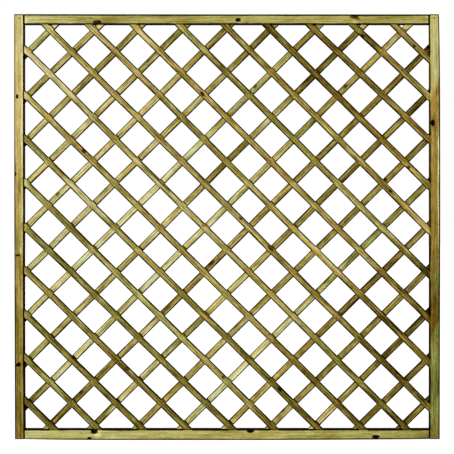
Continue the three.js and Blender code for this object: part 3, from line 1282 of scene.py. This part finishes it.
@dataclass
class Fasteners:
    """The staples on the back of the crossings and the nails on the front."""

    slot: str = "nail_steel"
    crown: float = 11 * MM
    wire: float = 1.1 * MM
    sunk: float = 0.35 * MM
    margin: float = 22 * MM
    tilt: float = math.radians(14)
    seed: int = 7

    def build(self, front: LathLayer, back: LathLayer, opening: Opening) -> None:
        """Build the staples, and dress the corner nails.

        Args:
            front: The front layer of laths.
            back: The back layer of laths.
            opening: The frame's opening.
        """
        wire = GalvanisedSteel().material("galvanised_wire")
        heads = GalvanisedSteel(rust_share=0.85).material("rusted_nail_heads")
        chance = random.Random(self.seed)
        mesh = bmesh.new()
        for front_place in front.places.values():
            for back_place in back.places.values():
                crossing = front_place.matrix @ Vector((0, 0, front_place.meets(back_place)))
                if opening.holds(crossing, self.margin):
                    crossing.y = back_place.centre.y + back_place.half.y + self.wire / 2 - self.sunk
                    self._staple(mesh, crossing, math.pi / 2 + chance.uniform(-self.tilt, self.tilt))
        finish_piece("crossing_staples", mesh, wire, self.slot)
        for name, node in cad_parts.items():
            if name.startswith("corner_nail"):
                node.data.materials.clear()
                node.data.materials.append(heads)

    def _staple(self, mesh: Mesh, centre: Vector, turn: float) -> None:
        """Add one staple's crown with its bent shoulders.

        Args:
            mesh: The mesh that gets it.
            centre: The middle of the crown.
            turn: The crown's turn about Y.
        """
        matrix = Matrix.Translation(centre) @ Matrix.Rotation(turn, 4, "Y")
        size = Matrix.Diagonal((self.crown, self.wire, self.wire, 1.0))
        new = bmesh.ops.create_cube(mesh, size=1.0, matrix=matrix @ size)["verts"]
        edges = list({edge for vertex in new for edge in vertex.link_edges})
        bmesh.ops.bevel(
            mesh, geom=edges, offset=self.wire * 0.3, offset_type="OFFSET", segments=1, profile=0.5,
            affect="EDGES", material=-1,
        )


@dataclass
class Studio:
    """A plain pale floor, soft light from the front and a camera opposite the panel's middle."""

    distance: float = 5.0
    aside: float = 0.10
    above: float = 0.06
    picture_pixels: float = 454.0
    panel_pixels: float = 426.4
    nudge_pixels: float = 0.14
    sensor: float = 36.0
    floor_size: float = 60.0
    key_strength: float = 2.6
    key_angle: float = math.radians(3)
    key_from_left: float = math.radians(8)
    key_from_above: float = math.radians(4)
    fill: float = 0.20
    floor_colour: str = "#f2f2f0"
    floor_glow: float = 0.93

    def build(self, panel: tuple[Vector, Vector]) -> None:
        """Build the studio.

        Args:
            panel: The panel's lowest and highest corner.
        """
        scene = bpy.context.scene
        scene.view_settings.view_transform = "Standard"
        self._camera(panel)
        self._key()
        self._world()
        self._floor()

    def _camera(self, panel: tuple[Vector, Vector]) -> None:
        """Stand the camera level, opposite the panel's middle, and frame the panel."""
        low, high = panel
        middle = (low + high) / 2
        width = (high.x - low.x) * self.picture_pixels / self.panel_pixels
        camera = bpy.data.cameras.new("camera")
        camera.sensor_width = self.sensor
        camera.lens = self.sensor * self.distance / width
        camera.shift_x = -self.aside / width - self.nudge_pixels / self.picture_pixels
        camera.shift_y = -self.above / width
        holder = add_object("camera", camera)
        holder.location = (middle.x + self.aside, low.y - self.distance, middle.z + self.above)
        holder.rotation_euler = Euler((math.pi / 2, 0, 0))
        bpy.context.scene.camera = holder

    def _key(self) -> None:
        """Hang the main light, from the front, a little left and above."""
        light = bpy.data.lights.new("key", "SUN")
        light.energy = self.key_strength
        light.angle = self.key_angle
        holder = add_object("key", light)
        holder.rotation_euler = Euler((math.pi / 2 - self.key_from_above, 0, -self.key_from_left), "XYZ")

    def _world(self) -> None:
        """Make the world white to the eye and a dim fill to the wood."""
        world = bpy.data.worlds.new("studio")
        world.use_nodes = True
        bpy.context.scene.world = world
        tree = world.node_tree
        tree.nodes.clear()
        seen = self._seen(tree)
        fill = add_node(tree, "ShaderNodeBackground", {}, {"Strength": self.fill})
        white = add_node(tree, "ShaderNodeBackground", {}, {"Color": (1, 1, 1, 1), "Strength": 1.0})
        mix = add_node(tree, "ShaderNodeMixShader", {}, {0: seen, 1: fill.outputs[0], 2: white.outputs[0]})
        add_node(tree, "ShaderNodeOutputWorld", {}, {"Surface": mix.outputs[0]})

    def _seen(self, tree: Tree) -> Socket:
        """Tell whether the eye looks at this, straight on, in a gloss or through glass."""
        wiring = Wiring(tree)
        ways = add_node(tree, "ShaderNodeLightPath").outputs
        either = wiring.maths("MAXIMUM", ways["Is Camera Ray"], ways["Is Glossy Ray"])
        return wiring.maths("MAXIMUM", either, ways["Is Transmission Ray"])

    def _floor(self) -> None:
        """Lay the floor, pale enough to meet the white backdrop, with a faint shadow."""
        mesh = bmesh.new()
        bmesh.ops.create_grid(mesh, x_segments=1, y_segments=1, size=self.floor_size / 2)
        data = bpy.data.meshes.new("floor")
        mesh.to_mesh(data)
        mesh.free()
        floor = add_object("floor", data)
        material = new_material("painted_studio_floor")
        tree = material.node_tree
        tree.nodes.clear()
        paint = add_node(tree, "ShaderNodeBsdfDiffuse", {}, {"Color": linear(self.floor_colour)})
        glow = add_node(tree, "ShaderNodeEmission", {}, {"Color": (1, 1, 1, 1), "Strength": self.floor_glow})
        both = add_node(tree, "ShaderNodeAddShader", {}, {0: paint.outputs[0], 1: glow.outputs[0]})
        mix = add_node(tree, "ShaderNodeMixShader", {}, {
            0: self._seen(tree), 1: paint.outputs[0], 2: both.outputs[0],
        })
        add_node(tree, "ShaderNodeOutputMaterial", {}, {"Surface": mix.outputs[0]})
        data.materials.append(material)


def front_laths(opening: Opening) -> LathLayer:
    """Describe the front layer, from the bottom left corner to the top right.

    Args:
        opening: The frame's opening.

    Returns:
        The layer, each lath with its tones from the upper end down.
    """
    t = Tone
    figures = (
        Figure(-0.1, (t.UMBER, t.UMBER)),
        Figure(-0.3, (t.KHAKI, t.KHAKI, t.MOSS)),
        Figure(0.0, (t.KHAKI, t.UMBER, t.BARK), -4.0, warming=0.4),
        Figure(0.2, (t.HONEY, t.KHAKI, t.UMBER, t.TAN), 5.0),
        Figure(0.0, (t.HONEY, t.BARK, t.TAN, t.MOSS, t.UMBER), -3.0),
        Figure(-0.1, (t.WHEAT, t.BARK, t.SAND, t.HONEY, t.SAND, t.BARK), 4.0),
        Figure(0.1, (t.MOSS, t.CREAM, t.TAN, t.TAN, t.KHAKI, t.UMBER, t.PEAT), 6.0),
        Figure(0.4, (t.WHEAT, t.TAN, t.TAN, t.TAN, t.SAND, t.KHAKI, t.UMBER, t.PEAT), -5.0, warming=-0.3),
        Figure(0.25, (
            t.IVORY, t.WHEAT, t.TAN, t.WHEAT, t.HONEY, t.TAN, t.TAN, t.MOSS, t.PITCH,
        ), 4.0, warming=-0.45),
        Figure(0.3, (
            t.WHEAT, t.HONEY, t.HONEY, t.HONEY, t.TAN, t.TAN, t.KHAKI, t.PITCH, t.MOSS,
        ), -4.0, (0.0, 0.06, 0.25, 0.375, 0.5, 0.625, 0.75, 0.875, 1.0), warming=-0.45),
        Figure(0.35, (t.HONEY, t.HONEY, t.KHAKI, t.TAN, t.STRAW, t.SAND, t.PITCH, t.MOSS), 5.0),
        Figure(0.6, (t.CREAM, t.TAN, t.TAN, t.TAN, t.HONEY, t.MOSS, t.PEAT), -6.0),
        Figure(-0.2, (t.HONEY, t.KHAKI, t.MOSS, t.TAN, t.STRAW, t.PITCH), 4.0),
        Figure(0.5, (t.UMBER, t.KHAKI, t.HONEY, t.MOSS, t.MILK), -3.0),
        Figure(0.65, (t.PEAT, t.BARK, t.MOSS, t.TAN), 5.0),
        Figure(0.7, (t.UMBER, t.UMBER, t.MOSS)),
        Figure(0.35, (t.MOSS, t.PEAT, t.TAN, t.SAND), -3.0),
        Figure(0.3, (t.KHAKI, t.KHAKI)),
    )
    # Dirt and painted shade along the arrises, darkest along the upper-right one, turned from the light; a painted
    # highlight at the lath ends by the left stile
    dirt_and_shade = DirtAndShade(
        (Band(1.1, 4.4 * MM, 5.6 * MM),), (Band(0.8, 3.6 * MM, 5.4 * MM),), (Band(0.7, 1.8 * MM, 3.0 * MM),),
        low_lift=0.9, high_lift=1.0, at_left=(Band(-0.08, 5 * MM, 11 * MM),), opening=opening,
    )
    profile = ((-15 * MM, 0.0), (-12 * MM, 1.0), (12 * MM, 1.0), (15 * MM, 0.0))
    return LathLayer(Layer.FRONT, "front_lath", "front_lath_pine", math.radians(135), figures, 11, dirt_and_shade, profile)


def back_laths(opening: Opening) -> LathLayer:
    """Describe the back layer, from the top left corner to the bottom right.

    Args:
        opening: The frame's opening.

    Returns:
        The layer, each lath with its tones from the lower end up.
    """
    t = Tone
    figures = (
        Figure(-0.35, (t.STRAW, t.SAND)),
        Figure(0.1, (t.HONEY, t.SAND)),
        Figure(0.4, (t.SAND, t.KHAKI), 5.0),
        Figure(0.0, (t.WHEAT, t.WHEAT, t.MOSS), -4.0),
        Figure(0.2, (t.STRAW, t.CREAM, t.CREAM, t.SAND, t.BARK), 4.0, warming=0.15),
        Figure(0.1, (t.CREAM, t.STRAW, t.STRAW, t.SAND, t.PEAT), -5.0),
        Figure(-0.15, (t.WHEAT, t.CREAM, t.MILK, t.IVORY, t.SAND, t.SAND, t.BARK), 5.0),
        Figure(0.15, (
            t.TAN, t.HONEY, t.SAND, t.CREAM, t.MOSS, t.WHEAT, t.PITCH, t.TAN,
        ), -3.0, warming=0.5),
        Figure(0.2, (
            t.PEAT, t.MILK, t.HONEY, t.IVORY, t.WHEAT, t.SAND, t.TAN, t.HONEY, t.HONEY,
        ), 6.0, warming=0.7),
        Figure(0.35, (
            t.MOSS, t.BARK, t.WHEAT, t.UMBER, t.TAN, t.TAN, t.MOSS, t.MOSS, t.PEAT,
        ), -4.0, warming=0.3),
        Figure(0.2, (t.BARK, t.CREAM, t.KHAKI, t.WHEAT, t.TAN, t.MOSS, t.TAN, t.PITCH), 4.0, warming=0.3),
        Figure(0.35, (t.HONEY, t.TAN, t.SAND, t.TAN, t.KHAKI, t.TAN, t.PEAT), -5.0),
        Figure(-0.1, (t.HONEY, t.MILK, t.STRAW, t.HONEY, t.KHAKI), 3.0),
        Figure(0.5, (t.STRAW, t.SAND, t.PEAT, t.TAN), 5.0),
        Figure(0.25, (t.HONEY, t.MOSS, t.KHAKI), -4.0),
        Figure(0.0, (t.IVORY, t.UMBER, t.PITCH), 4.0),
        Figure(0.5, (t.MOSS, t.UMBER)),
        Figure(0.2, (t.MOSS, t.UMBER)),
    )
    # Dirt and painted shade along the arrises, darkest along the lower-right one, turned from the light; a painted
    # shadow beside each crossing; painted shade by the stiles, darker at the left; painted light by the rails
    dirt_and_shade = DirtAndShade(
        (Band(0.55, 2.4 * MM, 5.0 * MM),), (Band(0.95, 4.1 * MM, 5.3 * MM),), crossing_shadow=1.1,
        at_left=(Band(0.5, 12 * MM, 17 * MM),), at_right=(Band(0.2, 6 * MM, 13 * MM),),
        at_top=(Band(-0.2, 14 * MM, 24 * MM),), at_bottom=(Band(-0.15, 14 * MM, 24 * MM),), opening=opening,
    )
    # Where the painted shadow of each front lath lies on the back lath, measured from the crossing
    profile = ((13.0 * MM, 0.0), (13.8 * MM, 1.0), (16.6 * MM, 1.0), (18.0 * MM, 0.0))
    return LathLayer(Layer.BACK, "back_lath", "back_lath_pine", math.radians(45), figures, 41, dirt_and_shade, profile)


def planed_bar_pine() -> TreatedPine:
    """Describe the frame's pine, which is planed smoother and coloured more evenly than the laths."""
    lath = TreatedPine(Figure(0.0, (Tone.TAN, Tone.TAN)), 0, DirtAndShade((), ()))
    strengths = {
        "fibre": 0.30, "fleck": 0.28, "streak": 0.55, "stain": 0.22, "cloud": 0.20, "tint": 0.7, "yellowing": 2.0,
    }
    calmer = {name: replace(getattr(lath, name), strength=strength) for name, strength in strengths.items()}
    return replace(lath, **calmer)


def corners_of(names: list[str]) -> tuple[Vector, Vector]:
    """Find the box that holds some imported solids.

    Args:
        names: The solids' names.

    Returns:
        The box's lowest and highest corner.
    """
    boxes = [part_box(name) for name in names]
    low = Vector(min(box[0][axis] for box in boxes) for axis in range(3))
    high = Vector(max(box[1][axis] for box in boxes) for axis in range(3))
    return low, high


def main() -> None:
    """Build the panel and the studio."""
    logging.basicConfig(level=logging.INFO, format="%(name)s: %(message)s")
    panel = corners_of(list(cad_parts))
    Studio().build(panel)
    opening = Opening(
        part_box("left_stile")[1].x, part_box("right_stile")[0].x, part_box("bottom_rail")[1].z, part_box("top_rail")[0].z,
    )
    front = front_laths(opening)
    back = back_laths(opening)
    front.measure()
    back.measure()
    FrameBars(planed_bar_pine()).build(opening.right, list(front.places.values()))
    outline = corners_of([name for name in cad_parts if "_lath_" in name])
    front.build(outline, back)
    back.build(outline, front)
    Fasteners().build(front, back, opening)


if __name__ == "__main__":
    main()
